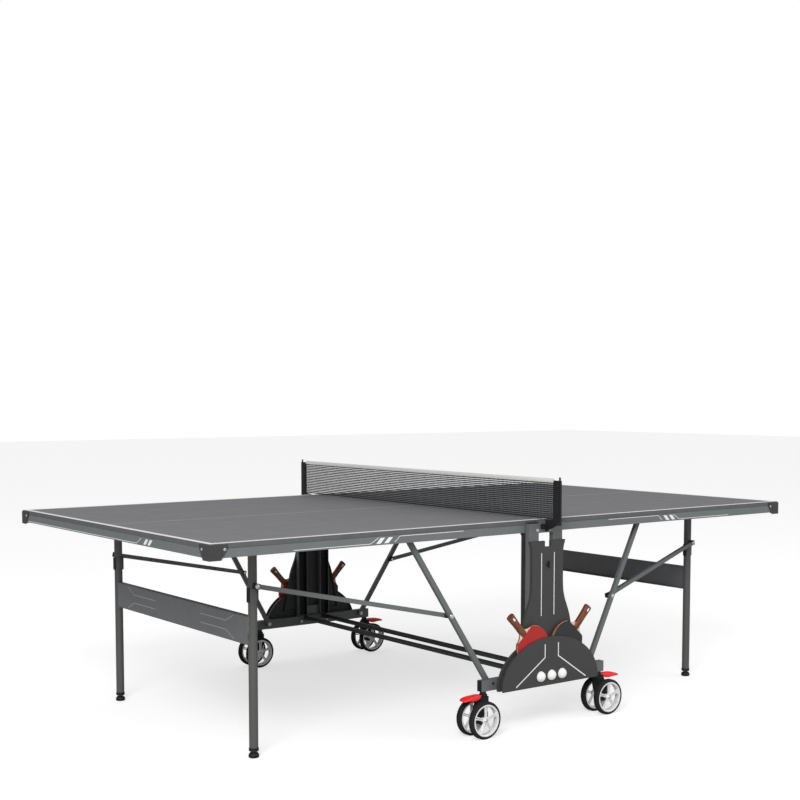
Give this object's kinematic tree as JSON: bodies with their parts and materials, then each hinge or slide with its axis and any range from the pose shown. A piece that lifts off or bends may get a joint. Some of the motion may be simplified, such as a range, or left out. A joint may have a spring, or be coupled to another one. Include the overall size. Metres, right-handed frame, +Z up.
{
  "type": "ping pong table",
  "caption": "Folding ping pong table on a wheeled trolley, with grey tops, net, slides that let each half swing upright, folding legs and stored paddles.",
  "frame": {"origin": "on the floor under the middle of the net", "axes": "+X along the table, +Y across it, +Z up"},
  "size_m": [2.7466, 1.724, 0.917],
  "materials": {
    "playing_surface": "matt grey coated board",
    "apron": "satin grey powder coat",
    "frame_tube": "satin grey powder coat",
    "leg_tube": "satin dark grey powder coat",
    "dark_bar": "satin black powder coat",
    "stretcher": "satin grey powder coat",
    "black_plastic": "moulded black plastic",
    "guard_plastic": "moulded charcoal plastic",
    "cover_plastic": "moulded charcoal plastic",
    "tyre": "black tyre on a pale rim",
    "brake_red": "gloss red plastic",
    "net_mesh": "dark woven mesh",
    "red_rubber": "matt red rubber on wood",
    "black_rubber": "matt black rubber on wood"
  },
  "bodies": {
    "trolley": {"left_cross_bar": "dark_bar", "right_cross_bar": "dark_bar", "net": "net_mesh", "near_side_frame": "frame_tube", "near_post_cover": "cover_plastic", "near_paddle_pocket": "cover_plastic", "near_net_post": "black_plastic", "far_side_frame": "frame_tube", "far_post_cover": "cover_plastic", "far_paddle_pocket": "cover_plastic", "far_net_post": "black_plastic"},
    "left_carriage": {"near_left_slide_block": "black_plastic", "far_left_slide_block": "black_plastic"},
    "left_half": {"left_top": "playing_surface", "left_apron_frame": "apron", "near_left_corner_guard": "guard_plastic", "far_left_corner_guard": "guard_plastic"},
    "left_legs": {"near_left_leg": "leg_tube", "far_left_leg": "leg_tube", "left_stretcher_panel": "stretcher"},
    "left_struts": {"near_left_strut": "frame_tube", "far_left_strut": "frame_tube"},
    "left_links": {"near_left_leg_link": "frame_tube", "far_left_leg_link": "frame_tube"},
    "right_carriage": {"near_right_slide_block": "black_plastic", "far_right_slide_block": "black_plastic"},
    "right_half": {"right_top": "playing_surface", "right_apron_frame": "apron", "near_right_corner_guard": "guard_plastic", "far_right_corner_guard": "guard_plastic"},
    "right_legs": {"near_right_leg": "leg_tube", "far_right_leg": "leg_tube", "right_stretcher_panel": "stretcher"},
    "right_struts": {"near_right_strut": "frame_tube", "far_right_strut": "frame_tube"},
    "right_links": {"near_right_leg_link": "frame_tube", "far_right_leg_link": "frame_tube"},
    "near_left_foot": {"near_left_leveler_foot": "black_plastic"},
    "near_left_caster": {"near_left_caster_fork": "black_plastic"},
    "near_left_wheels": {"near_left_wheel_pair": "tyre"},
    "near_left_brake": {"near_left_brake_lever": "brake_red"},
    "near_left_bat": {"near_left_paddle": "red_rubber"},
    "near_right_foot": {"near_right_leveler_foot": "black_plastic"},
    "near_right_caster": {"near_right_caster_fork": "black_plastic"},
    "near_right_wheels": {"near_right_wheel_pair": "tyre"},
    "near_right_brake": {"near_right_brake_lever": "brake_red"},
    "near_right_bat": {"near_right_paddle": "black_rubber"},
    "far_left_foot": {"far_left_leveler_foot": "black_plastic"},
    "far_left_caster": {"far_left_caster_fork": "black_plastic"},
    "far_left_wheels": {"far_left_wheel_pair": "tyre"},
    "far_left_brake": {"far_left_brake_lever": "brake_red"},
    "far_left_bat": {"far_left_paddle": "black_rubber"},
    "far_right_foot": {"far_right_leveler_foot": "black_plastic"},
    "far_right_caster": {"far_right_caster_fork": "black_plastic"},
    "far_right_wheels": {"far_right_wheel_pair": "tyre"},
    "far_right_brake": {"far_right_brake_lever": "brake_red"},
    "far_right_bat": {"far_right_paddle": "red_rubber"}
  },
  "joints": [
    {"name": "left_carriage_slide", "type": "slide", "parent": "trolley", "child": "left_carriage", "axis": [0, 0, -1], "range_m": [0, 0.464]},
    {"name": "left_fold", "type": "hinge", "parent": "left_carriage", "child": "left_half", "pos_m": [-0.0585, 0, 0.738], "axis": [0, 1, 0], "range_deg": [0, 90]},
    {"name": "left_strut_swing", "type": "hinge", "parent": "left_half", "child": "left_struts", "pos_m": [-0.5764, 0, 0.728], "axis": [0, -1, 0], "range_deg": [0, 42.15]},
    {"name": "left_leg_fold", "type": "hinge", "parent": "left_half", "child": "left_legs", "pos_m": [-1.079, 0, 0.722], "axis": [0, -1, 0], "range_deg": [0, 76.8]},
    {"name": "left_link_swing", "type": "hinge", "parent": "left_struts", "child": "left_links", "pos_m": [-0.40072, 0, 0.437], "axis": [0, 1, 0], "range_deg": [0, 35.1]},
    {"name": "right_carriage_slide", "type": "slide", "parent": "trolley", "child": "right_carriage", "axis": [0, 0, -1], "range_m": [0, 0.464]},
    {"name": "right_fold", "type": "hinge", "parent": "right_carriage", "child": "right_half", "pos_m": [0.0585, 0, 0.738], "axis": [0, -1, 0], "range_deg": [0, 90]},
    {"name": "right_strut_swing", "type": "hinge", "parent": "right_half", "child": "right_struts", "pos_m": [0.5764, 0, 0.728], "axis": [0, 1, 0], "range_deg": [0, 42.15]},
    {"name": "right_leg_fold", "type": "hinge", "parent": "right_half", "child": "right_legs", "pos_m": [1.079, 0, 0.722], "axis": [0, 1, 0], "range_deg": [0, 76.8]},
    {"name": "right_link_swing", "type": "hinge", "parent": "right_struts", "child": "right_links", "pos_m": [0.40072, 0, 0.437], "axis": [0, -1, 0], "range_deg": [0, 35.1]},
    {"name": "near_left_foot_level", "type": "slide", "parent": "left_legs", "child": "near_left_foot", "axis": [0, 0, -1], "range_m": [0, 0.015]},
    {"name": "near_left_caster_swivel", "type": "hinge", "parent": "trolley", "child": "near_left_caster", "pos_m": [-0.287, -0.772, 0.1], "axis": [0, 0, 1], "continuous": true},
    {"name": "near_left_wheel_spin", "type": "hinge", "parent": "near_left_caster", "child": "near_left_wheels", "pos_m": [-0.307, -0.772, 0.0675], "axis": [0, -1, 0], "continuous": true},
    {"name": "near_left_brake_press", "type": "hinge", "parent": "near_left_caster", "child": "near_left_brake", "pos_m": [-0.302, -0.772, 0.151], "axis": [0, -1, 0], "range_deg": [0, 6]},
    {"name": "near_left_paddle_lift", "type": "slide", "parent": "trolley", "child": "near_left_bat", "axis": [-0.6756, 0, 0.7373], "range_m": [0, 0.12]},
    {"name": "near_right_foot_level", "type": "slide", "parent": "right_legs", "child": "near_right_foot", "axis": [0, 0, -1], "range_m": [0, 0.015]},
    {"name": "near_right_caster_swivel", "type": "hinge", "parent": "trolley", "child": "near_right_caster", "pos_m": [0.287, -0.772, 0.1], "axis": [0, 0, 1], "continuous": true},
    {"name": "near_right_wheel_spin", "type": "hinge", "parent": "near_right_caster", "child": "near_right_wheels", "pos_m": [0.307, -0.772, 0.0675], "axis": [0, 1, 0], "continuous": true},
    {"name": "near_right_brake_press", "type": "hinge", "parent": "near_right_caster", "child": "near_right_brake", "pos_m": [0.302, -0.772, 0.151], "axis": [0, 1, 0], "range_deg": [0, 6]},
    {"name": "near_right_paddle_lift", "type": "slide", "parent": "trolley", "child": "near_right_bat", "axis": [0.6756, 0, 0.7373], "range_m": [0, 0.12]},
    {"name": "far_left_foot_level", "type": "slide", "parent": "left_legs", "child": "far_left_foot", "axis": [0, 0, -1], "range_m": [0, 0.015]},
    {"name": "far_left_caster_swivel", "type": "hinge", "parent": "trolley", "child": "far_left_caster", "pos_m": [-0.287, 0.772, 0.1], "axis": [0, 0, 1], "continuous": true},
    {"name": "far_left_wheel_spin", "type": "hinge", "parent": "far_left_caster", "child": "far_left_wheels", "pos_m": [-0.307, 0.772, 0.0675], "axis": [0, -1, 0], "continuous": true},
    {"name": "far_left_brake_press", "type": "hinge", "parent": "far_left_caster", "child": "far_left_brake", "pos_m": [-0.302, 0.772, 0.151], "axis": [0, -1, 0], "range_deg": [0, 6]},
    {"name": "far_left_paddle_lift", "type": "slide", "parent": "trolley", "child": "far_left_bat", "axis": [-0.6756, 0, 0.7373], "range_m": [0, 0.12]},
    {"name": "far_right_foot_level", "type": "slide", "parent": "right_legs", "child": "far_right_foot", "axis": [0, 0, -1], "range_m": [0, 0.015]},
    {"name": "far_right_caster_swivel", "type": "hinge", "parent": "trolley", "child": "far_right_caster", "pos_m": [0.287, 0.772, 0.1], "axis": [0, 0, 1], "continuous": true},
    {"name": "far_right_wheel_spin", "type": "hinge", "parent": "far_right_caster", "child": "far_right_wheels", "pos_m": [0.307, 0.772, 0.0675], "axis": [0, 1, 0], "continuous": true},
    {"name": "far_right_brake_press", "type": "hinge", "parent": "far_right_caster", "child": "far_right_brake", "pos_m": [0.302, 0.772, 0.151], "axis": [0, 1, 0], "range_deg": [0, 6]},
    {"name": "far_right_paddle_lift", "type": "slide", "parent": "trolley", "child": "far_right_bat", "axis": [0.6756, 0, 0.7373], "range_m": [0, 0.12]}
  ],
  "couplings": [
    {"joint": "left_carriage_slide", "follows": "left_fold", "m_per_rad": 0.29534},
    {"joint": "left_strut_swing", "follows": "left_fold", "ratio": 0.468},
    {"joint": "left_leg_fold", "follows": "left_fold", "ratio": 0.8531},
    {"joint": "left_link_swing", "follows": "left_fold", "ratio": 0.38977},
    {"joint": "right_carriage_slide", "follows": "right_fold", "m_per_rad": 0.29534},
    {"joint": "right_strut_swing", "follows": "right_fold", "ratio": 0.468},
    {"joint": "right_leg_fold", "follows": "right_fold", "ratio": 0.8531},
    {"joint": "right_link_swing", "follows": "right_fold", "ratio": 0.38977}
  ]
}
